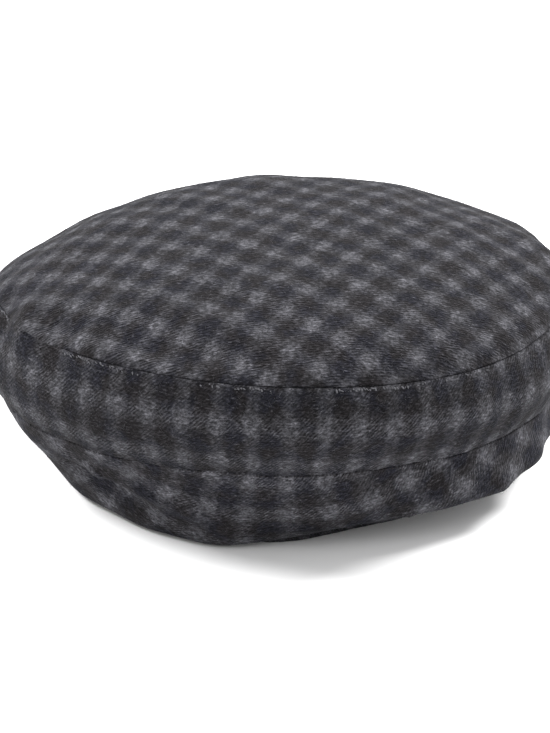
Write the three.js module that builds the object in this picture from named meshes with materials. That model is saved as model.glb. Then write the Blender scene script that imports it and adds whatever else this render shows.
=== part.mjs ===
// A soft tam o shanter in checked wool twill, lying on its head opening.
// Millimetres, +Z up, the floor at Z = 0, the front of the hat toward -Y.
// The skin is lofted through a few tilted rings and cut into three sewn panels,
// each a closed wall of cloth. A slim turned band lies round the head opening.
import * as THREE from 'three';

// Sizes across the hat
const upperSeamWidth = 264;
const lowerSeamWidth = 262;
const bandBulge = 7;
const openingWidth = 184;
const footOverhang = 6.5;

// Sizes up the hat
const lowerSeamHeight = 42;
const sideBandHeight = 36;
const crownRise = 37;
const footLift = 7;

// How far the soft hat slumps out of level, and the depth of its folds and dents
const slump = 10;
const foldDepth = 5;

// Cloth and the turned band
const clothThickness = 2;
const seamGap = 0.3;
const bandWidth = 7;
const bandThickness = 3.2;
const hemOverlap = 4;
const bandPeek = 4;
const peekAzimuth = THREE.MathUtils.degToRad(15);
const peekSpread = THREE.MathUtils.degToRad(17);

// Fineness of the faceted walls
const sidesRound = 64;
const rowsPerPanel = { crown: 13, side: 8, under: 10 };

const lowerSeamRadius = lowerSeamWidth / 2;
const upperSeamRadius = upperSeamWidth / 2;
const openingRadius = openingWidth / 2;
const footRadius = openingRadius + bandWidth + footOverhang;
const upperSeamHeight = lowerSeamHeight + sideBandHeight;
const hemRadius = openingRadius + hemOverlap;
const tuckRadius = openingRadius + bandWidth + 1.5 * clothThickness;
const hemHeight = bandThickness + 2 * seamGap;
const tuckRise = clothThickness / 2;
const bellyRadius = (lowerSeamRadius + footRadius) / 2;
const bellyHeight = (lowerSeamHeight + footLift) / 2;

// The rings that the skin passes through, from the middle of the crown to the hem.
// radius and height are the ring's mean. The wide columns are shares of that radius by
// which the ring reaches further at the front, at the right, at the front and back alike,
// and at the front right and back left. The high columns are shares of the slump by which
// it stands higher there.
const rings = [
  { name: 'crown middle', radius: 0, height: upperSeamHeight + crownRise },
  { name: 'crown inner', radius: 0.36 * upperSeamRadius, height: upperSeamHeight + 0.93 * crownRise,
    highFront: 0.1, highCorner: -0.05 },
  { name: 'crown half', radius: 0.62 * upperSeamRadius, height: upperSeamHeight + 0.74 * crownRise,
    highFront: 0.4, highRight: 0.05, highCorner: -0.15 },
  { name: 'crown outer', radius: 0.82 * upperSeamRadius, height: upperSeamHeight + 0.47 * crownRise,
    highFront: 0.75, highRight: 0.1, highCorner: -0.3 },
  { name: 'shoulder', radius: 0.94 * upperSeamRadius, height: upperSeamHeight + 0.22 * crownRise,
    wideEnds: -0.02, highFront: 0.95, highRight: 0.15, highCorner: -0.4 },
  { name: 'upper seam', radius: upperSeamRadius, height: upperSeamHeight,
    wideFront: 0.01, wideEnds: -0.01, highFront: 1, highRight: 0.2, highCorner: -0.55 },
  { name: 'side middle', radius: (upperSeamRadius + lowerSeamRadius) / 2 + bandBulge,
    height: lowerSeamHeight + sideBandHeight / 2,
    wideFront: -0.01, wideEnds: -0.015, highFront: 0.55, highCorner: -0.25 },
  { name: 'lower seam', radius: lowerSeamRadius, height: lowerSeamHeight,
    wideFront: -0.02, wideEnds: -0.02, highFront: 0.15, highRight: -0.2 },
  { name: 'belly', radius: 1.03 * bellyRadius, height: 0.88 * bellyHeight,
    wideFront: -0.01, wideRight: 0.045, wideEnds: -0.03, wideCorner: 0.015,
    highFront: 0.15, highRight: -0.3, highEnds: -0.2 },
  { name: 'foot', radius: footRadius, height: footLift,
    wideFront: 0.01, wideRight: 0.01, highEnds: -0.3, highCorner: 0.3 },
  { name: 'tuck', radius: tuckRadius, height: hemHeight + tuckRise },
  { name: 'hem', radius: hemRadius, height: hemHeight },
];

// The main folds and dents. Each pushes the skin outward and lifts it by shares of the
// fold depth round a ring and an azimuth in degrees, 0 at the front and 90 at the right.
// It fades over a spread round the hat in degrees and along the loft in rings.
const folds = [
  { name: 'front left fold on the floor', ring: 'foot', azimuth: -20, round: 20, along: 1,
    out: 0.8, up: -0.2 },
  { name: 'left side tucked under', ring: 'foot', azimuth: -55, round: 16, along: 1,
    out: -0.35, up: 0 },
  { name: 'front right fold held up', ring: 'foot', azimuth: 26, round: 16, along: 1,
    out: -0.6, up: 0.5 },
  { name: 'right side sagging', ring: 'belly', azimuth: 55, round: 24, along: 0.9,
    out: 0.35, up: -0.5 },
  { name: 'left crease', ring: 'belly', azimuth: -40, round: 10, along: 0.7,
    out: -0.35, up: 0 },
  { name: 'crown swell at the front right', ring: 'shoulder', azimuth: 18, round: 20, along: 0.9,
    out: 0.1, up: 0.35 },
  { name: 'crown hollow at the front left', ring: 'shoulder', azimuth: -14, round: 18, along: 0.9,
    out: 0, up: -0.3 },
  { name: 'crown swell at the back right', ring: 'crown outer', azimuth: 150, round: 25, along: 0.9,
    out: 0, up: 0.35 },
];

// The place of each seam along the loft, and where the loft ends
const upperSeamAt = rings.findIndex((ring) => ring.name === 'upper seam');
const lowerSeamAt = rings.findIndex((ring) => ring.name === 'lower seam');
const hemAt = rings.length - 1;

// A point of one ring at an azimuth, which is 0 at the front and turns to the right
function ringPoint(ring, azimuth) {
  const front = Math.cos(azimuth);
  const right = Math.sin(azimuth);
  const ends = Math.cos(2 * azimuth);
  const corner = Math.sin(2 * azimuth);
  const { wideFront = 0, wideRight = 0, wideEnds = 0, wideCorner = 0 } = ring;
  const { highFront = 0, highRight = 0, highEnds = 0, highCorner = 0 } = ring;
  const wider = wideFront * front + wideRight * right + wideEnds * ends + wideCorner * corner;
  const higher = highFront * front + highRight * right + highEnds * ends + highCorner * corner;
  const radius = ring.radius * (1 + wider);
  return new THREE.Vector3(radius * right, -radius * front, ring.height + slump * higher);
}

// A point of the skin at an azimuth, along a smooth curve through the rings
function skinPoint(azimuth, along) {
  const last = rings.length - 1;
  const start = Math.min(Math.floor(along), last - 1);
  const pick = (index) => {
    if (index < 0) return ringPoint(rings[-index], azimuth + Math.PI);
    return ringPoint(rings[Math.min(index, last)], azimuth);
  };
  const [before, from, to, after] = [-1, 0, 1, 2].map((step) => pick(start + step));
  const t = along - start;
  const point = new THREE.Vector3();
  for (const axis of ['x', 'y', 'z']) {
    const leave = (to[axis] - before[axis]) / 2;
    const arrive = (after[axis] - from[axis]) / 2;
    point[axis] = (2 * t ** 3 - 3 * t ** 2 + 1) * from[axis] + (t ** 3 - 2 * t ** 2 + t) * leave
      + (3 * t ** 2 - 2 * t ** 3) * to[axis] + (t ** 3 - t ** 2) * arrive;
  }
  return point;
}

// The skin with its folds and dents
function foldedPoint(azimuth, along) {
  const point = skinPoint(azimuth, along);
  const outward = new THREE.Vector3(Math.sin(azimuth), -Math.cos(azimuth), 0);
  for (const fold of folds) {
    const turn = Math.abs(THREE.MathUtils.radToDeg(azimuth) - fold.azimuth) % 360;
    const around = Math.min(turn, 360 - turn) / fold.round;
    const beside = (along - rings.findIndex((ring) => ring.name === fold.ring)) / fold.along;
    const depth = foldDepth * Math.exp(-(around ** 2) - beside ** 2);
    point.addScaledVector(outward, fold.out * depth);
    point.z += fold.up * depth;
  }
  return point;
}

// The inner face of the cloth below a point of the skin
function liningPoint(azimuth, along) {
  const step = 0.05;
  const around = foldedPoint(azimuth + step, along).sub(foldedPoint(azimuth - step, along));
  const down = foldedPoint(azimuth, Math.min(along + step, hemAt))
    .sub(foldedPoint(azimuth, Math.max(along - step, 0)));
  const inward = around.cross(down).normalize();
  return foldedPoint(azimuth, along).addScaledVector(inward, clothThickness);
}

// A closed body from rings of points: each ring is joined to the next, and the last to
// the first, or each end is closed at a single point
function closedBody(rows, capped) {
  const position = [];
  const index = [];
  const starts = [];
  for (const row of rows) {
    starts.push(position.length / 3);
    for (const point of row) position.push(point.x, point.y, point.z);
  }
  const spans = capped ? rows.length - 1 : rows.length;
  for (let span = 0; span < spans; span += 1) {
    const next = (span + 1) % rows.length;
    const [a, b] = [starts[span], starts[next]];
    for (let side = 0; side < sidesRound; side += 1) {
      const far = (side + 1) % sidesRound;
      if (rows[span].length === 1) index.push(a, b + side, b + far);
      else if (rows[next].length === 1) index.push(a + side, b, a + far);
      else index.push(a + side, b + side, b + far, a + side, b + far, a + far);
    }
  }
  const geometry = new THREE.BufferGeometry();
  geometry.setAttribute('position', new THREE.Float32BufferAttribute(position, 3));
  geometry.setIndex(index);
  geometry.computeVertexNormals();
  return geometry;
}

function ringOfPoints(place) {
  return Array.from({ length: sidesRound }, (_, side) => place((side / sidesRound) * 2 * Math.PI));
}

// How far along the loft a given length of skin reaches from a seam
function alongForLength(seamAt, length, direction) {
  const probe = 0.02;
  const reach = skinPoint(0, seamAt).distanceTo(skinPoint(0, seamAt + direction * probe));
  return seamAt + direction * probe * (length / reach);
}

// A sewn panel: the skin between two places along the loft, and its inner face
function panel(from, to, rowCount) {
  const places = Array.from({ length: rowCount + 1 }, (_, row) => from + ((to - from) * row) / rowCount);
  const outer = places.map((along) => ringOfPoints((azimuth) => foldedPoint(azimuth, along)));
  const inner = places.map((along) => ringOfPoints((azimuth) => liningPoint(azimuth, along)));
  return closedBody([...outer, ...inner.reverse()], false);
}

// The crown is a disc, so each of its faces closes at the middle
function crownPanel(to, rowCount) {
  const places = Array.from({ length: rowCount }, (_, row) => (to * (row + 1)) / rowCount);
  const outer = places.map((along) => ringOfPoints((azimuth) => foldedPoint(azimuth, along)));
  const inner = places.map((along) => ringOfPoints((azimuth) => liningPoint(azimuth, along)));
  const top = skinPoint(0, 0);
  const under = top.clone().setZ(top.z - clothThickness);
  return closedBody([[top], ...outer, ...inner.reverse(), [under]], true);
}

// The turned band lies flat on the floor round the opening. Its free edge peeks out from
// under the fold a little to the right of the front.
function headBand() {
  const edge = bandThickness / 4;
  const section = [
    [0, bandThickness - edge], [edge, bandThickness], [bandWidth - edge, bandThickness],
    [bandWidth, bandThickness - edge], [bandWidth, edge], [bandWidth - edge, 0], [edge, 0], [0, edge],
  ];
  const rows = section.map(([out, height]) => ringOfPoints((turn) => {
    const azimuth = turn > Math.PI ? turn - 2 * Math.PI : turn;
    const peek = bandPeek * Math.exp(-(((azimuth - peekAzimuth) / peekSpread) ** 2));
    const radius = openingRadius + out + peek * (out / bandWidth);
    return new THREE.Vector3(radius * Math.sin(azimuth), -radius * Math.cos(azimuth), height);
  }));
  return closedBody(rows, false);
}

function cloth(name, geometry, color) {
  const material = new THREE.MeshStandardMaterial({ color, roughness: 0.95, metalness: 0 });
  const mesh = new THREE.Mesh(geometry, material);
  mesh.name = name;
  return mesh;
}

const halfGap = seamGap / 2;
const tam = new THREE.Group();
tam.add(
  cloth('top_panel', crownPanel(alongForLength(upperSeamAt, halfGap, -1), rowsPerPanel.crown), 0x504f55),
  cloth('side_band', panel(
    alongForLength(upperSeamAt, halfGap, 1),
    alongForLength(lowerSeamAt, halfGap, -1),
    rowsPerPanel.side,
  ), 0x353438),
  cloth('under_panel', panel(alongForLength(lowerSeamAt, halfGap, 1), hemAt, rowsPerPanel.under), 0x3b3a3e),
  cloth('head_band', headBand(), 0x2b2a2d),
);

// The origin is on the floor, in the middle of the hat's box
const box = new THREE.Box3().setFromObject(tam);
const middle = box.getCenter(new THREE.Vector3());
tam.position.set(-middle.x, -middle.y, -box.min.z);

export default tam;
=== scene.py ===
# A soft tam o shanter in checked wool twill, lying on its head opening on a pale floor.
# Metres, +Z up, the front of the hat toward -Y. Azimuth is 0 at the front and turns right.
import math

import bpy
import numpy as np
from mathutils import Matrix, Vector


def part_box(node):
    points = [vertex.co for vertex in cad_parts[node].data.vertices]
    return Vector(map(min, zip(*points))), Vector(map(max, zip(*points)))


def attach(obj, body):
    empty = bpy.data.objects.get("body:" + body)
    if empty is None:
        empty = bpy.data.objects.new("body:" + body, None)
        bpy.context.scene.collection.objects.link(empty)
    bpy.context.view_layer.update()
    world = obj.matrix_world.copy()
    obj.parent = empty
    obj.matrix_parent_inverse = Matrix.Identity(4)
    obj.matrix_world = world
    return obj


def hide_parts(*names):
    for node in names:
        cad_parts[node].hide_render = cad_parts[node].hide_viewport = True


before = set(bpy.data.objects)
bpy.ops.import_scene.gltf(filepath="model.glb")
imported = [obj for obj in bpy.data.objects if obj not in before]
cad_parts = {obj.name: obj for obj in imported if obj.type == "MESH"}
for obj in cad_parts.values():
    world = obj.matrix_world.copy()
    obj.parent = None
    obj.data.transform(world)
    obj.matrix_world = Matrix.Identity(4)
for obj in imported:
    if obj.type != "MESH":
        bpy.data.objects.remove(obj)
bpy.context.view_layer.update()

MM = 0.001

# Sizes across and up the hat, the same as in its plain solids
UPPER_SEAM_WIDTH = 264 * MM
LOWER_SEAM_WIDTH = 262 * MM
BAND_BULGE = 7 * MM
OPENING_WIDTH = 184 * MM
FOOT_OVERHANG = 6.5 * MM
LOWER_SEAM_HEIGHT = 42 * MM
SIDE_BAND_HEIGHT = 36 * MM
CROWN_RISE = 37 * MM
FOOT_LIFT = 7 * MM
SLUMP = 10 * MM
FOLD_DEPTH = 5 * MM
CLOTH_THICKNESS = 2 * MM
SEAM_GAP = 0.3 * MM
BAND_WIDTH = 7 * MM
BAND_THICKNESS = 3.2 * MM
HEM_OVERLAP = 4 * MM
SOLID_SIDES = 64
SOLID_SIDE_ROWS = 8

LOWER_SEAM_RADIUS = LOWER_SEAM_WIDTH / 2
UPPER_SEAM_RADIUS = UPPER_SEAM_WIDTH / 2
OPENING_RADIUS = OPENING_WIDTH / 2
FOOT_RADIUS = OPENING_RADIUS + BAND_WIDTH + FOOT_OVERHANG
UPPER_SEAM_HEIGHT = LOWER_SEAM_HEIGHT + SIDE_BAND_HEIGHT
HEM_RADIUS = OPENING_RADIUS + HEM_OVERLAP
TUCK_RADIUS = OPENING_RADIUS + BAND_WIDTH + 1.5 * CLOTH_THICKNESS
HEM_HEIGHT = BAND_THICKNESS + 2 * SEAM_GAP
BELLY_RADIUS = (LOWER_SEAM_RADIUS + FOOT_RADIUS) / 2
BELLY_HEIGHT = (LOWER_SEAM_HEIGHT + FOOT_LIFT) / 2

# How finely the cloth is meshed: columns round the hat, and rows down a panel's outer and
# inner face, which lie closer together where an edge rolls in at a seam
COLUMNS = 384
ROW_STEP = 1.3 * MM
INNER_ROW_STEP = 4 * MM
EDGE_ROLL = 0.9 * MM
FINE_ROWS = np.array([0, 0.12, 0.28, 0.48, 0.72, 1.0, 1.5]) * EDGE_ROLL
AZIMUTHS = np.arange(COLUMNS) * math.tau / COLUMNS - math.pi
CLOSED_AZIMUTHS = np.append(AZIMUTHS, math.pi)

# How lengths of skin are measured: at so many places from one edge of a panel to the other,
# or over a short step along the loft, in rings
LENGTH_PROBES = 400
PROBE_STEP = 0.02

# The finished cloth: how deep a sewn edge rolls in, how far the stitching draws the cloth in
# beside it, how deep, how many and how long the soft dents are, how far the cloth clears the
# floor, and the radius at which the side band's cloth is laid out flat
EDGE_DROP = 0.8 * MM
SEAM_VALLEY = 0.7 * MM
SEAM_VALLEY_REACH = 5 * MM
DENT_DEPTH = 0.45 * MM
DENT_WAVES = 18
DENT_LENGTHS_MM = (26, 64)
FLOOR_CLEARANCE = 0.4 * MM
STRIP_RADIUS = 138 * MM

# The small puckers beside a seam, and waves round the hat that space them unevenly, change
# their strength and change the pull of the stitches: height, number round and start
PUCKER_DEPTH = 0.35 * MM
PUCKER_REACH = 7 * MM
PUCKERS_ROUND = 74
PUCKER_DRIFT = [(2.1, 5, 1), (1.3, 11, 0)]
PUCKER_STRENGTH = 0.6
STRENGTH_WAVES = [(0.4, 3, 0.7)]
PULL_WAVES = [(0.3, 7, 1), (0.25, 19, 0), (0.2, 43, 0)]

# Where the slack crown laps over the upper seam at the left, in degrees, and its soft lip
RIDGE_AT = -51
RIDGE_SPREAD = 9
LIP_REACH = 2 * MM
LIP_OVERLAP = 0.9 * MM
LIP_RISE = 0.3 * MM

# Where slack cloth has drawn the upper seam up the crown at the left: by how many rings, at
# which azimuth, and its spread in degrees and in rings
SEAM_DRAWN = 0.9
SEAM_DRAWN_AT = -78
SEAM_DRAWN_SPREAD = 24
SEAM_DRAWN_REACH = 1.6

# The head band: its free edge peeks out at the front, and it is lifted a little beside that.
# Its section is a rounded square, with small ripples that shift across the band.
BAND_PEEK = 3.2 * MM
PEEK_AZIMUTH = math.radians(1)
PEEK_SPREAD = math.radians(13)
BAND_LIFT = 1.6 * MM
LIFT_AZIMUTH = math.radians(23)
LIFT_SPREAD = math.radians(13)
BAND_POINTS = 24
BAND_SQUARENESS = 0.35
BAND_RIPPLES = 46
BAND_RIPPLE_DEPTH = 0.12 * MM
BAND_RIPPLE_SHIFT = 40

# The seams' threads: the outline of one stitch along its length as place and width, its
# arch, and how far an uneven one strays sideways, in shares of its length. Stitches are
# missing in patches round the hat, and where the slack crown covers the seam.
THREAD_SIDES = 6
THREAD_OUTLINE = [(-0.5, 0.45), (-0.36, 0.9), (0, 1), (0.36, 0.9), (0.5, 0.45)]
THREAD_ARCH = 0.25
THREAD_SCATTER = (-0.4, 1.6)
PATCHES_ROUND = 9
PATCH_DRIFT = [(2, 4, 0)]
PATCH_DEPTH = 0.8
COVERED_SHARE = 0.2

# The brushed nap: how many fibres each panel has, and each fibre's size, how far it stands,
# leans and curls, and its outline as place and width
CROWN_FIBRES = 8000
SIDE_FIBRES = 5000
UNDER_FIBRES = 4000
FIBRE_LENGTH = (0.9 * MM, 2.4 * MM)
FIBRE_THICKNESS = (0.05 * MM, 0.09 * MM)
FIBRE_SCATTER_MM = 0.6
FIBRE_STAND = (0.15, 0.75)
FIBRE_DROOP = 0.45
FIBRE_LEAN = 0.9
FIBRE_CURL = 0.5
FIBRE_SIDES = 3
FIBRE_OUTLINE = [(0.0, 1.0), (0.35, 0.95), (0.7, 0.75), (1.0, 0.3)]
NAP_FROM_FLOOR = 3 * MM

# The rings that the skin passes through. The wide shares are of the ring's radius, the
# high shares of the slump: at the front, at the right, at both ends and at the corners.
LEVEL = (0, 0, 0, 0)
RINGS = [
    {"name": "crown middle", "radius": 0, "height": UPPER_SEAM_HEIGHT + CROWN_RISE},
    {"name": "crown inner", "radius": 0.36 * UPPER_SEAM_RADIUS,
     "height": UPPER_SEAM_HEIGHT + 0.93 * CROWN_RISE, "high": (0.1, 0, 0, -0.05)},
    {"name": "crown half", "radius": 0.62 * UPPER_SEAM_RADIUS,
     "height": UPPER_SEAM_HEIGHT + 0.74 * CROWN_RISE, "high": (0.4, 0.05, 0, -0.15)},
    {"name": "crown outer", "radius": 0.82 * UPPER_SEAM_RADIUS,
     "height": UPPER_SEAM_HEIGHT + 0.47 * CROWN_RISE, "high": (0.75, 0.1, 0, -0.3)},
    {"name": "shoulder", "radius": 0.94 * UPPER_SEAM_RADIUS,
     "height": UPPER_SEAM_HEIGHT + 0.22 * CROWN_RISE,
     "wide": (0, 0, -0.02, 0), "high": (0.95, 0.15, 0, -0.4)},
    {"name": "upper seam", "radius": UPPER_SEAM_RADIUS, "height": UPPER_SEAM_HEIGHT,
     "wide": (0.01, 0, -0.01, 0), "high": (1, 0.2, 0, -0.55)},
    {"name": "side middle", "radius": (UPPER_SEAM_RADIUS + LOWER_SEAM_RADIUS) / 2 + BAND_BULGE,
     "height": LOWER_SEAM_HEIGHT + SIDE_BAND_HEIGHT / 2,
     "wide": (-0.01, 0, -0.015, 0), "high": (0.55, 0, 0, -0.25)},
    {"name": "lower seam", "radius": LOWER_SEAM_RADIUS, "height": LOWER_SEAM_HEIGHT,
     "wide": (-0.02, 0, -0.02, 0), "high": (0.15, -0.2, 0, 0)},
    {"name": "belly", "radius": 1.03 * BELLY_RADIUS, "height": 0.88 * BELLY_HEIGHT,
     "wide": (-0.01, 0.045, -0.03, 0.015), "high": (0.15, -0.3, -0.2, 0)},
    {"name": "foot", "radius": FOOT_RADIUS, "height": FOOT_LIFT,
     "wide": (0.01, 0.01, 0, 0), "high": (0, 0, -0.3, 0.3)},
    {"name": "tuck", "radius": TUCK_RADIUS, "height": HEM_HEIGHT + CLOTH_THICKNESS / 2},
    {"name": "hem", "radius": HEM_RADIUS, "height": HEM_HEIGHT},
]
RING_AT = {ring["name"]: index for index, ring in enumerate(RINGS)}
UPPER_SEAM_AT = RING_AT["upper seam"]
LOWER_SEAM_AT = RING_AT["lower seam"]
HEM_AT = len(RINGS) - 1

# The main folds: ring, azimuth and spread in degrees, spread along the loft in rings, and
# how far they push out and up, in shares of the fold depth
FOLDS = [
    ("foot", -12, 15, 1, 0.7, -0.2),
    ("foot", -55, 16, 1, -0.35, 0),
    ("foot", 15, 14, 1, -0.6, 0),
    ("hem", 23, 13, 1.5, 0, 0.34),
    ("foot", 37, 12, 1, 0.3, -0.2),
    ("belly", -57, 9, 1, 0.5, -0.4),
    ("belly", -40, 10, 0.7, -0.35, 0),
    ("belly", 52, 18, 0.9, 0.5, -0.3),
    ("lower seam", -70, 12, 1, -0.4, 0.3),
    ("side middle", -90, 22, 2, -0.7, 0.2),
    ("shoulder", -105, 22, 1.4, -0.3, -0.6),
    ("shoulder", 18, 20, 0.9, 0.1, 0.35),
    ("shoulder", -14, 18, 0.9, 0, -0.3),
    ("shoulder", 100, 26, 1.5, 0.5, 0.4),
    ("crown outer", 146, 14, 0.9, 0, 0.15),
]

# Creases and ridges that the photograph shows: from and to a place along the loft in rings
# and an azimuth in degrees, then half width and height. One that sinks in has a height
# below zero. The rings are taken as evenly spaced.
CREASES = [
    ((4.1, -56), (5.4, -51), 10 * MM, 2.6 * MM),
    ((4.7, -66), (5.5, -60), 8 * MM, -1.7 * MM),
    ((7.5, -47), (7.7, -39), 4.5 * MM, 2.0 * MM),
    ((7.7, -39), (8.15, -15), 4 * MM, 2.0 * MM),
    ((7.95, -48), (8.35, -30), 6 * MM, -2.0 * MM),
    ((8.55, 2), (8.3, 30), 3 * MM, 1.1 * MM),
    ((8.3, 30), (8.0, 50), 4 * MM, 1.0 * MM),
    ((8.0, 52), (8.0, 64), 6 * MM, 1.8 * MM),
]
RING_STEP = 24 * MM

random = np.random.default_rng(11)


def ring_points(ring, azimuth):
    """The points of one ring at several azimuths."""
    turns = (np.cos(azimuth), np.sin(azimuth), np.cos(2 * azimuth), np.sin(2 * azimuth))
    wider = sum(share * turn for share, turn in zip(ring.get("wide", LEVEL), turns))
    higher = sum(share * turn for share, turn in zip(ring.get("high", LEVEL), turns))
    radius = ring["radius"] * (1 + wider)
    return np.stack([radius * turns[1], -radius * turns[0], ring["height"] + SLUMP * higher], -1)


def drawn_up(along, azimuth):
    """Places along the loft, once the slack at the left has drawn the upper seam up the crown."""
    around = (np.degrees(azimuth) - SEAM_DRAWN_AT) / SEAM_DRAWN_SPREAD
    beside = (along - UPPER_SEAM_AT) / SEAM_DRAWN_REACH
    return along - SEAM_DRAWN * np.exp(-(around**2) - beside**2)


def skin(along, azimuth, slack=True):
    """The folded skin as a grid: a row for each place along the loft, a column for each azimuth."""
    along = np.repeat(np.asarray(along, float)[:, None], len(azimuth), axis=1)
    if slack:
        along = drawn_up(along, azimuth)
    rows = [ring_points(RINGS[1], azimuth + math.pi)]
    rows += [ring_points(ring, azimuth) for ring in RINGS]
    rows.append(rows[-1])
    rings = np.stack(rows)
    start = np.minimum(np.floor(along).astype(int), HEM_AT - 1)
    t = (along - start)[..., None]
    column = np.arange(len(azimuth))
    before, here, there, after = (rings[start + step, column] for step in range(4))
    points = ((2 * t**3 - 3 * t**2 + 1) * here + (t**3 - 2 * t**2 + t) * (there - before) / 2
              + (3 * t**2 - 2 * t**3) * there + (t**3 - t**2) * (after - here) / 2)
    outward = np.stack([np.sin(azimuth), -np.cos(azimuth), np.zeros_like(azimuth)], -1)
    for name, middle, spread, reach, out, up in FOLDS:
        turn = np.abs(np.degrees(azimuth) - middle) % 360
        around = np.minimum(turn, 360 - turn) / spread
        beside = (along - RING_AT[name]) / reach
        depth = FOLD_DEPTH * np.exp(-(around**2) - beside**2)
        points = points + out * depth[..., None] * outward
        points[..., 2] += up * depth
    return points


def along_for_length(seam_at, length, direction):
    """How far along the loft a given length of skin reaches from a seam, at the front."""
    front = np.zeros(1)
    seam, beyond = skin([seam_at, seam_at + direction * PROBE_STEP], front)[:, 0]
    return seam_at + direction * PROBE_STEP * length / np.linalg.norm(beyond - seam)


TOP_EDGE = along_for_length(UPPER_SEAM_AT, SEAM_GAP / 2, -1)
SIDE_TOP = along_for_length(UPPER_SEAM_AT, SEAM_GAP / 2, 1)
SIDE_FOOT = along_for_length(LOWER_SEAM_AT, SEAM_GAP / 2, -1)
UNDER_TOP = along_for_length(LOWER_SEAM_AT, SEAM_GAP / 2, 1)

# How far the inner edges of sewn panels run on, so that they meet and no light comes through
INNER_TUCK = 4.5 * (SIDE_TOP - UPPER_SEAM_AT)


def frame_shift():
    """How far the plain solids were moved so that the hat stands in the middle of its box."""
    azimuth = np.arange(SOLID_SIDES) * math.tau / SOLID_SIDES
    places = np.linspace(SIDE_TOP, SIDE_FOOT, SOLID_SIDE_ROWS + 1)
    points = skin(places, azimuth, slack=False).reshape(-1, 3)
    low, high = (np.array(corner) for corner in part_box("side_band"))
    shift = (low + high) / 2 - (points.min(0) + points.max(0)) / 2
    return np.array([shift[0], shift[1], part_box("head_band")[0][2]])


SHIFT = frame_shift()


def normals_of(points):
    """Outward normals of a grid of points that closes round the hat."""
    around = np.roll(points, -1, 1) - np.roll(points, 1, 1)
    down = np.gradient(points, axis=0)
    normal = np.cross(down, around)
    return normal / np.maximum(np.linalg.norm(normal, axis=-1, keepdims=True), 1e-12)


def arc_lengths(points):
    """The length of skin from the first row down to each row, in each column."""
    steps = np.linalg.norm(np.diff(points, axis=0), axis=-1)
    return np.concatenate([np.zeros((1, points.shape[1])), np.cumsum(steps, 0)])


DENTS = [
    (direction / np.linalg.norm(direction) * 2 * math.pi / length, phase)
    for direction, length, phase in zip(
        random.normal(size=(DENT_WAVES, 3)),
        random.uniform(*DENT_LENGTHS_MM, DENT_WAVES) * MM,
        random.uniform(0, 2 * math.pi, DENT_WAVES),
    )
]


def soft_dents(points):
    """Shallow, wide swells of slack cloth, the same on both sides of every seam."""
    swell = sum(np.sin(points @ wave + phase) for wave, phase in DENTS)
    return DENT_DEPTH * swell / math.sqrt(DENT_WAVES / 2)


def with_waves(value, azimuth, waves):
    """A value with waves added to it that run round the hat."""
    for height, number, start in waves:
        value = value + height * np.sin(number * azimuth + start)
    return value


def puckers(azimuth, distance):
    """Small ripples that the stitching pulls into the cloth beside a seam."""
    ripple = np.sin(with_waves(PUCKERS_ROUND * azimuth, azimuth, PUCKER_DRIFT))
    strength = with_waves(PUCKER_STRENGTH, azimuth, STRENGTH_WAVES)
    return PUCKER_DEPTH * strength * ripple * np.exp(-distance / PUCKER_REACH)


def ridge_share(azimuth):
    """1 where the slack crown laps over the upper seam at the left, and 0 elsewhere."""
    return np.exp(-(((np.degrees(azimuth) - RIDGE_AT) / RIDGE_SPREAD) ** 4))


def seam_valley(distance):
    """How far the stitching draws the cloth in, at a distance from the seam."""
    return SEAM_VALLEY * np.exp(-((distance / SEAM_VALLEY_REACH) ** 2))


def seam_shape(distance, azimuth, covered):
    """The cloth beside a seam: a rolled edge in a shallow valley, with puckers."""
    inside = np.clip(1 - distance / EDGE_ROLL, 0, 1)
    pull = with_waves(1, azimuth, PULL_WAVES)
    roll = -EDGE_DROP * pull * (1 - np.sqrt(1 - inside**2))
    open_share = 1 - covered * ridge_share(azimuth)
    return (roll - seam_valley(distance)) * open_share + puckers(azimuth, distance)


def creases(along, azimuth):
    """The named creases and ridges over a grid of places."""
    down = along[:, None] * RING_STEP
    around = azimuth[None, :] * UPPER_SEAM_RADIUS
    height = np.zeros(np.broadcast_shapes(down.shape, around.shape))
    for (ring_a, azimuth_a), (ring_b, azimuth_b), half_width, rise in CREASES:
        start = np.array([ring_a * RING_STEP, math.radians(azimuth_a) * UPPER_SEAM_RADIUS])
        end = np.array([ring_b * RING_STEP, math.radians(azimuth_b) * UPPER_SEAM_RADIUS])
        run = end - start
        share = ((down - start[0]) * run[0] + (around - start[1]) * run[1]) / (run @ run)
        share = np.clip(share, 0, 1)
        off = np.hypot(down - start[0] - share * run[0], around - start[1] - share * run[1])
        height += rise * np.exp(-((off / half_width) ** 2))
    return height


def rows_between(start, end, step, fine_start, fine_end):
    """Places along the loft about a step of cloth apart, and closer at sewn edges."""
    probe = np.linspace(start, end, LENGTH_PROBES)
    length = arc_lengths(skin(probe, np.zeros(1)))[:, 0]
    total = length[-1]
    low = FINE_ROWS if fine_start else np.array([0.0])
    high = total - FINE_ROWS[::-1] if fine_end else np.array([total])
    count = int(round((high[0] - low[-1]) / step))
    middle = np.linspace(low[-1], high[0], count + 1)[1:-1]
    return np.interp(np.concatenate([low, middle, high]), length, probe)


def linked(name, mesh):
    """A smooth-shaded object in the scene for a mesh."""
    mesh.polygons.foreach_set("use_smooth", [True] * len(mesh.polygons))
    mesh.update()
    piece = bpy.data.objects.new(name, mesh)
    bpy.context.collection.objects.link(piece)
    return piece


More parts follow.
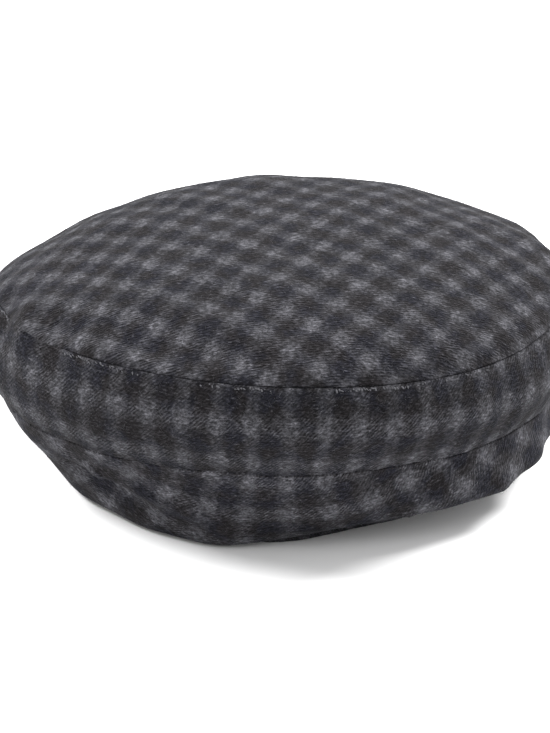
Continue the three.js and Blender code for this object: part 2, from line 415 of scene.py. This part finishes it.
def grid_mesh(name, rows, uvs, capped):
    """A closed body from rows of points, with the cloth's flat places as its UV map."""
    points = []
    starts = []
    for row in rows:
        starts.append(len(points))
        points.extend(row)
    faces = []
    corners = []
    spans = len(rows) - 1 if capped else len(rows)
    for span in range(spans):
        below = (span + 1) % len(rows)
        for side in range(COLUMNS):
            far = (side + 1) % COLUMNS
            a, b = starts[span], starts[below]
            if len(rows[span]) == 1:
                faces.append((a, b + side, b + far))
                corners += [uvs[span][0], uvs[below][side], uvs[below][side + 1]]
            elif len(rows[below]) == 1:
                faces.append((a + side, b, a + far))
                corners += [uvs[span][side], uvs[below][0], uvs[span][side + 1]]
            else:
                faces.append((a + side, b + side, b + far, a + far))
                corners += [uvs[span][side], uvs[below][side],
                            uvs[below][side + 1], uvs[span][side + 1]]
    mesh = bpy.data.meshes.new(name)
    mesh.from_pydata([tuple(point) for point in points], [], faces)
    mesh.uv_layers.new(name="Cloth").data.foreach_set("uv", np.array(corners).ravel())
    return linked(name, mesh)


def cloth_face(along, top_seam, foot_seam):
    """The finished outer and inner faces of one panel, and the lengths of skin down it."""
    base = skin(along, AZIMUTHS) + SHIFT
    normal = normals_of(base)
    length = arc_lengths(base)
    rise = soft_dents(base) + creases(along, AZIMUTHS)
    outer = rise.copy()
    inner = rise - CLOTH_THICKNESS
    lip = np.zeros_like(length)
    if top_seam:
        outer += seam_shape(length, AZIMUTHS, top_seam == "upper")
        inner -= seam_valley(length)
    if foot_seam:
        left = length[-1] - length
        outer += seam_shape(left, AZIMUTHS, foot_seam == "upper")
        inner -= seam_valley(left)
    if foot_seam == "upper":
        lip = ridge_share(AZIMUTHS) * np.clip(1 - left / LIP_REACH, 0, 1)
    down = np.gradient(base, axis=0)
    down /= np.maximum(np.linalg.norm(down, axis=-1, keepdims=True), 1e-12)
    outer = base + normal * (outer + LIP_RISE * lip)[..., None]
    outer = outer + down * (LIP_OVERLAP * lip)[..., None]
    inner = base + normal * inner[..., None]
    outer[..., 2] = np.maximum(outer[..., 2], FLOOR_CLEARANCE)
    inner[..., 2] = np.maximum(inner[..., 2], FLOOR_CLEARANCE + CLOTH_THICKNESS / 2)
    return outer, inner, length


def flat_places(flat, lengths):
    """The places on flat cloth of rows of points, given the lengths of skin down to them."""
    return [flat(CLOSED_AZIMUTHS, np.append(row, row[0])) for row in lengths]


def sewn_panel(name, start, end, flat, top_seam, foot_seam):
    """A closed shell of cloth between two places along the loft, and its outer face."""
    outer_at = rows_between(start, end, ROW_STEP, bool(top_seam), bool(foot_seam))
    inner_end = end + INNER_TUCK if foot_seam else end
    inner_at = rows_between(start - INNER_TUCK, inner_end, INNER_ROW_STEP, False, False)
    outer, _, length = cloth_face(outer_at, top_seam, foot_seam)
    _, inner, inner_length = cloth_face(inner_at, top_seam, foot_seam)
    rows = [*outer, *inner[::-1]]
    uvs = flat_places(flat, [*length, *inner_length[::-1]])
    return grid_mesh(name, rows, uvs, capped=False), outer


def crown(name, end, flat):
    """The crown disc, whose two faces each close at the middle, and its outer face."""
    outer_at = rows_between(0, end, ROW_STEP, False, True)
    inner_at = rows_between(0, end + INNER_TUCK, INNER_ROW_STEP, False, False)
    outer, _, length = cloth_face(outer_at, None, "upper")
    _, inner, inner_length = cloth_face(inner_at, None, "upper")
    middle = outer[1].mean(0)
    below = middle - np.array([0, 0, CLOTH_THICKNESS])
    rows = [[middle], *outer[1:], *inner[:0:-1], [below]]
    uvs = flat_places(flat, [*length[1:], *inner_length[:0:-1]])
    return grid_mesh(name, rows, [[(0, 0)], *uvs, [(0, 0)]], capped=True), outer[1:]


def disc_cloth(turn, length):
    """Flat places on a disc of cloth, from its middle."""
    return np.stack([length * np.sin(turn), -length * np.cos(turn)], -1)


def strip_cloth(turn, length):
    """Flat places on a straight strip, from the middle of the front down."""
    return np.stack([turn * STRIP_RADIUS, length], -1)


def annulus_cloth(turn, length):
    """Flat places on a flat ring of cloth whose outer edge is the lower seam."""
    return disc_cloth(turn, LOWER_SEAM_RADIUS - length)


def bump_at(middle, spread):
    """A soft bump round the hat: 1 at an azimuth, and 0 well away from it."""
    return np.exp(-(((AZIMUTHS - middle) / spread) ** 2))


def squared(value):
    """A cosine or sine of a round section, pushed out toward a square one."""
    return np.sign(value) * np.abs(value) ** BAND_SQUARENESS


def head_band(name):
    """The turned band round the opening, with a rounded section. Its free edge peeks out."""
    turn = np.linspace(0, math.tau, BAND_POINTS + 1)[:-1]
    across = squared(np.cos(turn)) * (BAND_WIDTH / 2)
    upward = squared(np.sin(turn)) * (BAND_THICKNESS / 2)
    peek = BAND_PEEK * bump_at(PEEK_AZIMUTH, PEEK_SPREAD)
    lift = BAND_LIFT * bump_at(LIFT_AZIMUTH, LIFT_SPREAD)
    rows = []
    uvs = []
    for out, up in zip(across + BAND_WIDTH / 2, upward + BAND_THICKNESS / 2):
        shifted = BAND_RIPPLES * AZIMUTHS + BAND_RIPPLE_SHIFT * out / BAND_WIDTH
        ripple = BAND_RIPPLE_DEPTH * np.sin(shifted)
        radius = OPENING_RADIUS + out + peek * out / BAND_WIDTH + ripple
        row = [radius * np.sin(AZIMUTHS), -radius * np.cos(AZIMUTHS), lift + up]
        rows.append(np.stack(row, -1) + SHIFT)
        uvs.append(strip_cloth(CLOSED_AZIMUTHS, np.full(COLUMNS + 1, out + up)))
    return grid_mesh(name, rows, uvs, capped=False)


def seam_line(seam_at, offset):
    """Points and outward normals along a seam, a short way below it."""
    along = along_for_length(seam_at, offset, 1)
    places = skin([along - PROBE_STEP, along, along + PROBE_STEP], AZIMUTHS) + SHIFT
    normal = normals_of(places)[1]
    rise = soft_dents(places)[1] + creases(np.array([along]), AZIMUTHS)[0]
    return places[1] + normal * rise[:, None], normal


def stitches(name, seam_at, offset, spacing, length, thickness, sink, slant, uneven, missing):
    """Short capsules of thread laid along a seam, as one mesh. A share of them is missing."""
    base, normal = seam_line(seam_at, offset)
    looped = np.vstack([base, base[:1]])
    run = np.concatenate([[0], np.cumsum(np.linalg.norm(np.diff(looped, axis=0), axis=1))])
    count = int(run[-1] / spacing)
    at = (np.arange(count) + 0.5) * run[-1] / count
    column = np.interp(at, run, np.arange(COLUMNS + 1))
    turn = column * math.tau / COLUMNS - math.pi
    patches = np.sin(with_waves(PATCHES_ROUND * turn, turn, PATCH_DRIFT))
    bare = missing * (1 + PATCH_DEPTH * patches)
    column = column[(random.random(count) >= bare) & (ridge_share(turn) < COVERED_SHARE)]
    count = len(column)
    low = np.floor(column).astype(int)
    share = (column - low)[:, None]

    def between_columns(grid):
        return grid[low % COLUMNS] * (1 - share) + grid[(low + 1) % COLUMNS] * share

    up = between_columns(normal)
    along = base[(low + 1) % COLUMNS] - base[low % COLUMNS]
    along /= np.linalg.norm(along, axis=1, keepdims=True)
    side = np.cross(up, along)
    centre = between_columns(base) + up * (sink - SEAM_VALLEY)
    centre = centre - side * length * uneven * random.uniform(*THREAD_SCATTER, count)[:, None]
    tilt = slant + random.normal(0, uneven, count)[:, None]
    direction = along * np.cos(tilt) + side * np.sin(tilt)
    beside = np.cross(up, direction)
    sizes = length * random.uniform(1 - uneven, 1 + uneven, count)
    widths = thickness * random.uniform(1 - uneven, 1 + uneven, count)
    points = []
    faces = []
    for stitch in range(count):
        start = len(points)
        for place, width in THREAD_OUTLINE:
            arch = up[stitch] * widths[stitch] * (THREAD_ARCH - place**2)
            middle = centre[stitch] + direction[stitch] * sizes[stitch] * place + arch
            for corner in range(THREAD_SIDES):
                angle = corner * math.tau / THREAD_SIDES
                across = beside[stitch] * math.cos(angle) + up[stitch] * math.sin(angle)
                points.append(middle + widths[stitch] / 2 * width * across)
        last = start + (len(THREAD_OUTLINE) - 1) * THREAD_SIDES
        for ring in range(start, last, THREAD_SIDES):
            for corner in range(THREAD_SIDES):
                far = (corner + 1) % THREAD_SIDES
                below = ring + THREAD_SIDES
                faces.append((ring + corner, ring + far, below + far, below + corner))
        faces.append(tuple(start + corner for corner in reversed(range(THREAD_SIDES))))
        faces.append(tuple(last + corner for corner in range(THREAD_SIDES)))
    mesh = bpy.data.meshes.new(name)
    mesh.from_pydata([tuple(point) for point in points], [], faces)
    return linked(name, mesh)


def fibre_faces():
    """The triangles of one closed, three-sided fibre, ring by ring along its outline."""
    sides = FIBRE_SIDES
    last = (len(FIBRE_OUTLINE) - 1) * sides
    faces = [(2, 1, 0), (last, last + 1, last + 2)]
    for ring in range(0, last, sides):
        for corner in range(sides):
            far = (corner + 1) % sides
            faces.append((ring + corner, ring + far, ring + sides + far))
            faces.append((ring + corner, ring + sides + far, ring + sides + corner))
    return np.array(faces)


def fuzz(name, outer, count):
    """Short brushed fibres that stand and lie on the outer face of a panel, as one mesh."""
    normal = normals_of(outer)
    down = np.linalg.norm(np.gradient(outer, axis=0), axis=-1)
    around = np.linalg.norm(np.roll(outer, -1, 1) - outer, axis=-1)
    area = (down * around).ravel()
    area[outer[..., 2].ravel() < NAP_FROM_FLOOR] = 0
    at = random.choice(area.size, count, p=area / area.sum())
    root = outer.reshape(-1, 3)[at]
    up = normal.reshape(-1, 3)[at]
    lean = random.normal(size=(count, 3))
    lean -= (lean * up).sum(1)[:, None] * up
    lean /= np.linalg.norm(lean, axis=1)[:, None]
    beside = np.cross(up, lean)
    root = root + beside * random.uniform(-FIBRE_SCATTER_MM, FIBRE_SCATTER_MM, count)[:, None] * MM
    length = random.uniform(*FIBRE_LENGTH, count)[:, None]
    stand = random.uniform(*FIBRE_STAND, count)[:, None]
    curl = random.uniform(-FIBRE_CURL, FIBRE_CURL, count)[:, None]
    thick = random.uniform(*FIBRE_THICKNESS, count)[:, None]
    points = []
    for place, width in FIBRE_OUTLINE:
        rise = stand * (place - FIBRE_DROOP * place**2)
        path = lean * place * FIBRE_LEAN + up * rise + beside * curl * place**2
        middle = root + length * path
        for corner in range(FIBRE_SIDES):
            angle = corner * math.tau / FIBRE_SIDES
            across = beside * math.cos(angle) + up * math.sin(angle)
            points.append(middle + thick / 2 * width * across)
    first = len(points) * np.arange(count)[:, None, None]
    faces = (fibre_faces()[None] + first).reshape(-1, 3)
    points = np.stack(points, 1).reshape(-1, 3)
    mesh = bpy.data.meshes.new(name)
    mesh.from_pydata(points.tolist(), [], faces.tolist())
    return linked(name, mesh)


class Nodes:
    """A short way to write a material's nodes."""

    def __init__(self, material):
        material.use_nodes = True
        self.tree = material.node_tree
        self.tree.nodes.clear()

    def add(self, kind, **settings):
        """A new node with its settings."""
        node = self.tree.nodes.new(kind)
        for key, value in settings.items():
            setattr(node, key, value)
        return node

    def feed(self, socket, value):
        """Link another node's output to a socket, or set the socket to a plain value."""
        if isinstance(value, bpy.types.NodeSocket):
            self.tree.links.new(value, socket)
        else:
            socket.default_value = value

    def math(self, operation, *values):
        """One step of arithmetic."""
        node = self.add("ShaderNodeMath", operation=operation)
        for socket, value in zip(node.inputs, values):
            self.feed(socket, value)
        return node.outputs[0]

    def vector(self, operation, *values):
        """One step of arithmetic on vectors."""
        node = self.add("ShaderNodeVectorMath", operation=operation)
        for socket, value in zip(node.inputs, values):
            self.feed(socket, value)
        return node.outputs["Value" if operation == "DOT_PRODUCT" else "Vector"]

    def scaled(self, vector, amount):
        """A vector made longer or shorter."""
        node = self.add("ShaderNodeVectorMath", operation="SCALE")
        self.feed(node.inputs["Vector"], vector)
        self.feed(node.inputs["Scale"], amount)
        return node.outputs["Vector"]

    def noise(self, vector, scale, detail=2, roughness=0.5, output="Fac"):
        """Cloudy noise, as one value or as a colour."""
        node = self.add("ShaderNodeTexNoise")
        self.feed(node.inputs["Vector"], vector)
        node.inputs["Scale"].default_value = scale
        node.inputs["Detail"].default_value = detail
        node.inputs["Roughness"].default_value = roughness
        return node.outputs[output]

    def ramp(self, value, low, high, to_low=0.0, to_high=1.0, smooth=True):
        """A value moved from one span to another, and held at its ends."""
        kind = "SMOOTHSTEP" if smooth else "LINEAR"
        node = self.add("ShaderNodeMapRange", interpolation_type=kind)
        for socket, entry in zip(node.inputs, (value, low, high, to_low, to_high)):
            self.feed(socket, entry)
        return node.outputs["Result"]

    def mix(self, share, first, second, blend="MIX"):
        """Two colours mixed by a share of the second."""
        node = self.add("ShaderNodeMix", data_type="RGBA", blend_type=blend)
        self.feed(node.inputs["Factor"], share)
        self.feed(node.inputs[6], first)
        self.feed(node.inputs[7], second)
        return node.outputs[2]

    def times(self, colour, factor):
        """A colour made lighter or darker by a factor."""
        return self.mix(1.0, colour, factor, "MULTIPLY")

    def surface(self, colour, roughness, specular):
        """The material's matt surface."""
        shader = self.add("ShaderNodeBsdfPrincipled")
        self.feed(shader.inputs["Base Color"], colour)
        shader.inputs["Roughness"].default_value = roughness
        shader.inputs["Specular IOR Level"].default_value = specular
        output = self.add("ShaderNodeOutputMaterial")
        self.feed(output.inputs["Surface"], shader.outputs["BSDF"])
        return shader

    def relief(self, shader, height, strength, depth):
        """Fine relief on a surface."""
        bump = self.add("ShaderNodeBump")
        bump.inputs["Strength"].default_value = strength
        bump.inputs["Distance"].default_value = depth
        self.feed(bump.inputs["Height"], height)
        self.feed(shader.inputs["Normal"], bump.outputs["Normal"])


# The checked twill, in millimetres of cloth: two sets of yarn, each in dark and light
# stripes, which show in turn along the twill's diagonal ribs. Each set has the angle
# across its stripes, the period of a dark and a light stripe and the place of a light one.
MM_PER_METRE = 1000.0
BROWN_YARN = (0.0067, 0.0057, 0.0063, 1)
BLUE_YARN = (0.0049, 0.0050, 0.0081, 1)
LIGHT_YARN = (0.0485, 0.048, 0.0537, 1)
GREY_FIBRE = (0.062, 0.0615, 0.0675, 1)
PALE_FIBRE = (0.16, 0.16, 0.173, 1)
TWILL_PITCH = 1.28
STRIPE_SOFTNESS = 0.85
DARK_SHARE = 0.12
MIXED_DEPTH = 1.8
CHECKS = {
    "top": {"warp": (-31, 14.4, 11.7), "weft": (55, 18.5, 18.1), "twill": -78},
    "side": {"warp": (2, 15.2, 8.7), "weft": (91, 21.6, 17.6), "twill": 45},
    "under": {"warp": (0, 16.6, 7.6), "weft": (89, 20.6, 16.5), "twill": 45},
    "band": {"warp": (0, 15.2, 4.0), "weft": (90, 20.6, 9.0), "twill": 45},
}

# How the cloth strays: how fine the noise is, its detail, and how far in millimetres it
# moves the whole check, breaks up the check's edges and bends the ribs
STRAY_ROUGHNESS = 0.6
CHECK_WANDER = (0.03, 1, 3.0)
CHECK_FRAY = (0.3, 4, 8.5)
RIB_BEND = (0.5, 3, 1.6)

# Cloudy noises over the cloth: how fine, how detailed and how rough
YARN_CAST = (0.09, 2)
LIGHT_PATCHES = (0.32, 3, 0.6)
RIB_WEAR = (0.4, 2)
HEATHER = (0.95, 4, 0.75)
NAP_CLOUDS = (0.05, 2)

# What they do: the span of a noise that counts, and the share or factor at its two ends.
# The ribs' entries go by their wave, which is -1 in a groove and 1 on a rib.
CAST_SPAN = (0.4, 0.6)
PATCH_SHADE = (0.32, 0.68, 0.55, 1.45)
WEAR_SHARE = (0.35, 0.65, 0.15, 0.95)
RIB_SHOWS = (-1.0, 1.0, 0.24, 0.76)
# Painted shade in the twill's grooves and painted light on its ribs, as factors on the colour
RIB_PAINTED_SHADING = (-1.0, 1.0, 0.8, 1.2)
HEATHER_SHADE = (0.3, 0.7, 0.3, 1.75)
NAP_SPAN = (0.3, 0.7)
NAP_SHADE = (0.88, 1.12)

# Brushed fibres that lie over the cloth: their angle to the ribs in degrees, how long they
# are drawn and how fine they are, then how they shade the cloth and where grey and pale show
STRANDS = ((-22, 0.4, 0.9), (-68, 0.35, 1.15), (40, 0.4, 1.0))
STRAND_NOISE = (3, 0.6)
STRAND_SHADE = (0.3, 0.7, 0.55, 1.5)
GREY_SHOWS = (0.52, 0.7, 0.0, 0.13)
PALE_SHOWS = (0.64, 0.8, 0.0, 0.45)

# The wool's relief and finish
RIB_RELIEF = 0.3
WOOL_RELIEF = (1.0, 0.55 * MM)
WOOL_FINISH = (0.95, 0.12)
SHEEN = {"Sheen Weight": 0.015, "Sheen Roughness": 0.5, "Sheen Tint": (0.8, 0.81, 0.87, 1)}
# Painted light: the under panel's wool is made lighter by this factor
UNDER_PAINTED_LIGHT = 1.18
# Painted shade: the head band's wool is made darker by this factor
BAND_PAINTED_SHADE = 0.6

# Threads and single fibres
DARK_THREAD = (0.02, 0.018, 0.019, 1)
PALE_THREAD = (0.085, 0.085, 0.093, 1)
NAP_COLOUR = (0.075, 0.075, 0.082, 1)
THREAD_GRAIN = (3.0, 3)
THREAD_SHADE = (0.3, 0.7, 0.6, 1.35)
THREAD_RELIEF = (0.4, 0.05 * MM)
THREAD_FINISH = (0.85, 0.2)


def stripes(nodes, cloth, angle, period, light_at):
    """One set of stripes across the cloth: 1 on light yarn, 0 on dark."""
    heading = (math.cos(math.radians(angle)), math.sin(math.radians(angle)), 0)
    place = nodes.vector("DOT_PRODUCT", cloth, heading)
    turn = nodes.math("MULTIPLY_ADD", place, math.tau / period, -math.tau * light_at / period)
    low, high = DARK_SHARE - STRIPE_SOFTNESS, DARK_SHARE + STRIPE_SOFTNESS
    return nodes.ramp(nodes.math("COSINE", turn), low, high)


def strayed(nodes, place, body, scale, detail, amount):
    """A place on the cloth, moved by up to an amount by noise over the body."""
    noise = nodes.noise(body, scale, detail, STRAY_ROUGHNESS, "Color")
    centred = nodes.vector("SUBTRACT", noise, (0.5, 0.5, 0.5))
    return nodes.vector("ADD", place, nodes.scaled(centred, amount))


def fibres(nodes, flat, turn, stretch, scale):
    """Brushed fibres that lie in one direction over the cloth."""
    mapping = nodes.add("ShaderNodeMapping")
    nodes.feed(mapping.inputs["Vector"], flat)
    mapping.inputs["Rotation"].default_value = (0, 0, math.radians(turn))
    mapping.inputs["Scale"].default_value = (stretch, 1, 1)
    return nodes.noise(mapping.outputs["Vector"], scale, *STRAND_NOISE)


def wool(name, check, painted_shading=1.0):
    """Brushed wool twill with a gingham check. Its whole colour is made lighter or darker by a
    factor of painted shading.
    """
    material = bpy.data.materials.new(name)
    nodes = Nodes(material)
    uv_map = nodes.add("ShaderNodeUVMap", uv_map="Cloth")
    flat = nodes.scaled(uv_map.outputs["UV"], MM_PER_METRE)
    body = nodes.scaled(nodes.add("ShaderNodeTexCoord").outputs["Object"], MM_PER_METRE)

    # The check wanders a little with the cloth, and the nap breaks up its edges
    cloth = strayed(nodes, flat, body, *CHECK_WANDER)
    cloth = strayed(nodes, cloth, body, *CHECK_FRAY)
    warp = stripes(nodes, cloth, *check["warp"])
    weft = stripes(nodes, cloth, *check["weft"])

    # Dark yarn leans to brown in some places and to blue in others, and the light is patchy
    cast = nodes.ramp(nodes.noise(body, *YARN_CAST), *CAST_SPAN)
    dark = nodes.mix(cast, BROWN_YARN, BLUE_YARN)
    patch = nodes.ramp(nodes.noise(body, *LIGHT_PATCHES), *PATCH_SHADE, False)
    light = nodes.times(LIGHT_YARN, patch)

    # Which set of yarn shows, along the diagonal ribs of the twill
    rib = math.radians(check["twill"])
    wavy = strayed(nodes, flat, body, *RIB_BEND)
    across_rib = nodes.vector("DOT_PRODUCT", wavy, (math.cos(rib), math.sin(rib), 0))
    wave = nodes.math("SINE", nodes.math("MULTIPLY", across_rib, math.tau / TWILL_PITCH))
    worn = nodes.ramp(nodes.noise(body, *RIB_WEAR), *WEAR_SHARE)
    wave = nodes.math("MULTIPLY", wave, worn)
    shows = nodes.ramp(wave, *RIB_SHOWS)
    share = nodes.ramp(shows, 0.0, 1.0, warp, weft, False)
    colour = nodes.mix(nodes.math("POWER", share, MIXED_DEPTH), dark, light)
    # Painted shade in the grooves of the ribs and painted light on their tops
    colour = nodes.times(colour, nodes.ramp(wave, *RIB_PAINTED_SHADING, False))

    # Heather, brushed fibres that lie about, and a few pale ones on top
    heather = nodes.noise(body, *HEATHER)
    colour = nodes.times(colour, nodes.ramp(heather, *HEATHER_SHADE, False))
    height = nodes.math("MULTIPLY", wave, RIB_RELIEF)
    for turn, stretch, scale in STRANDS:
        strand = fibres(nodes, flat, turn - check["twill"], stretch, scale)
        colour = nodes.times(colour, nodes.ramp(strand, *STRAND_SHADE, False))
        colour = nodes.mix(nodes.ramp(strand, *GREY_SHOWS), colour, GREY_FIBRE)
        colour = nodes.mix(nodes.ramp(strand, *PALE_SHOWS), colour, PALE_FIBRE)
        height = nodes.math("ADD", height, strand)
    # Painted shading: the whole colour is made lighter by a factor on the under panel and darker on
    # the head band
    darker, lighter = (factor * painted_shading for factor in NAP_SHADE)
    clouds = nodes.ramp(nodes.noise(body, *NAP_CLOUDS), *NAP_SPAN, darker, lighter, False)
    shader = nodes.surface(nodes.times(colour, clouds), *WOOL_FINISH)
    for entry, value in SHEEN.items():
        shader.inputs[entry].default_value = value
    nodes.relief(shader, nodes.math("ADD", height, heather), *WOOL_RELIEF)
    return material


def thread(name, colour):
    """Sewing thread, finely twisted."""
    material = bpy.data.materials.new(name)
    nodes = Nodes(material)
    body = nodes.scaled(nodes.add("ShaderNodeTexCoord").outputs["Object"], MM_PER_METRE)
    grain = nodes.noise(body, *THREAD_GRAIN)
    shaded = nodes.times(colour, nodes.ramp(grain, *THREAD_SHADE, False))
    shader = nodes.surface(shaded, *THREAD_FINISH)
    nodes.relief(shader, grain, *THREAD_RELIEF)
    return material


def settle(piece, material, slot, *nodes):
    """A finished piece rides on the hat, stands for its plain solids and takes its material."""
    piece.data.materials.append(material)
    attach(piece, "root")
    if nodes:
        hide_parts(*nodes)


crown_cloth, crown_face = crown("crown_cloth", TOP_EDGE, disc_cloth)
settle(crown_cloth, wool("crown wool", CHECKS["top"]), "crown_wool", "top_panel")

side_cloth, side_face = sewn_panel("side_cloth", SIDE_TOP, SIDE_FOOT, strip_cloth, "upper", "lower")
settle(side_cloth, wool("side wool", CHECKS["side"]), "side_wool", "side_band")

under_cloth, under_face = sewn_panel("under_cloth", UNDER_TOP, HEM_AT, annulus_cloth, "lower", None)
# The under panel's wool carries painted light, a factor that makes its whole colour lighter
settle(under_cloth, wool("under wool", CHECKS["under"], UNDER_PAINTED_LIGHT), "under_wool", "under_panel")

# The head band's wool carries painted shade, a factor that makes its whole colour darker
band_wool = wool("band wool", CHECKS["band"], BAND_PAINTED_SHADE)
settle(head_band("band_cloth"), band_wool, "band_wool", "head_band")

lower_stitches = stitches("lower_seam_stitches", LOWER_SEAM_AT, offset=0.5 * MM, spacing=1.55 * MM,
                          length=1.0 * MM, thickness=0.4 * MM, sink=-0.3 * MM, slant=0.0,
                          uneven=0.1, missing=0.05)
settle(lower_stitches, thread("dark thread", DARK_THREAD), "side_wool")

upper_flecks = stitches("upper_seam_flecks", UPPER_SEAM_AT, offset=1.1 * MM, spacing=1.2 * MM,
                        length=1.3 * MM, thickness=0.55 * MM, sink=-0.05 * MM, slant=-0.65,
                        uneven=0.45, missing=0.6)
settle(upper_flecks, thread("light yarn", PALE_THREAD), "side_wool")

nap = thread("nap", NAP_COLOUR)
settle(fuzz("crown_nap", crown_face, CROWN_FIBRES), nap, "crown_wool")
settle(fuzz("side_nap", side_face, SIDE_FIBRES), nap, "side_wool")
settle(fuzz("under_nap", under_face, UNDER_FIBRES), nap, "under_wool")


# The floor, the two side lights, the white sky and the camera at the photograph's angle
FLOOR_SIZE = 12
FLOOR_MOTTLE = (3.0, 2)
FLOOR_GREY = (0.89, 0.89, 0.89, 1)
FLOOR_WHITE = (0.91, 0.91, 0.91, 1)
FLOOR_FINISH = (0.9, 0.1)
CAMERA_ELEVATION = math.radians(24)
CAMERA_DISTANCE = 1.25
CAMERA_TARGET = Vector((0.2 * MM, SHIFT[1], 38.2 * MM))
CAMERA_LENS = 133.2
CAMERA_SENSOR = 36
CAMERA_CLIP = (0.05, 50)
LIGHT_SIZE = 0.6
KEY_PLACE = Vector((-1.2, 0.1, 1.3))
KEY_POWER = 44
FILL_PLACE = Vector((1.1, 0.5, 1.2))
FILL_POWER = 45
SKY_STRENGTH = 1.1


def make_floor():
    """A wide, plain, pale floor."""
    mesh = bpy.data.meshes.new("floor")
    half = FLOOR_SIZE / 2
    corners = [(-half, -half, 0), (half, -half, 0), (half, half, 0), (-half, half, 0)]
    mesh.from_pydata(corners, [], [(0, 1, 2, 3)])
    floor = bpy.data.objects.new("floor", mesh)
    bpy.context.collection.objects.link(floor)
    material = bpy.data.materials.new("pale floor")
    nodes = Nodes(material)
    mottle = nodes.noise(nodes.add("ShaderNodeTexCoord").outputs["Object"], *FLOOR_MOTTLE)
    nodes.surface(nodes.mix(mottle, FLOOR_GREY, FLOOR_WHITE), *FLOOR_FINISH)
    mesh.materials.append(material)


def make_light(name, place, power):
    """A soft round light that faces the hat."""
    light = bpy.data.lights.new(name, "AREA")
    light.shape = "DISK"
    light.size = LIGHT_SIZE
    light.energy = power
    lamp = bpy.data.objects.new(name, light)
    lamp.location = place
    lamp.rotation_mode = "QUATERNION"
    lamp.rotation_quaternion = (CAMERA_TARGET - place).to_track_quat("-Z", "Y")
    bpy.context.collection.objects.link(lamp)


def make_sky():
    """An even white sky."""
    world = bpy.data.worlds.new("studio")
    world.use_nodes = True
    background = world.node_tree.nodes["Background"]
    background.inputs["Color"].default_value = (1, 1, 1, 1)
    background.inputs["Strength"].default_value = SKY_STRENGTH
    bpy.context.scene.world = world


def make_camera():
    """A camera in front of the hat, looking down at it."""
    data = bpy.data.cameras.new("camera")
    data.lens = CAMERA_LENS
    data.sensor_width = CAMERA_SENSOR
    data.clip_start, data.clip_end = CAMERA_CLIP
    camera = bpy.data.objects.new("camera", data)
    back = Vector((0, -math.cos(CAMERA_ELEVATION), math.sin(CAMERA_ELEVATION)))
    camera.location = CAMERA_TARGET + back * CAMERA_DISTANCE
    camera.rotation_mode = "QUATERNION"
    camera.rotation_quaternion = (-back).to_track_quat("-Z", "Y")
    bpy.context.collection.objects.link(camera)
    bpy.context.scene.camera = camera


make_floor()
make_light("key", KEY_PLACE, KEY_POWER)
make_light("fill", FILL_PLACE, FILL_POWER)
make_sky()
make_camera()
bpy.context.scene.view_settings.view_transform = "Standard"
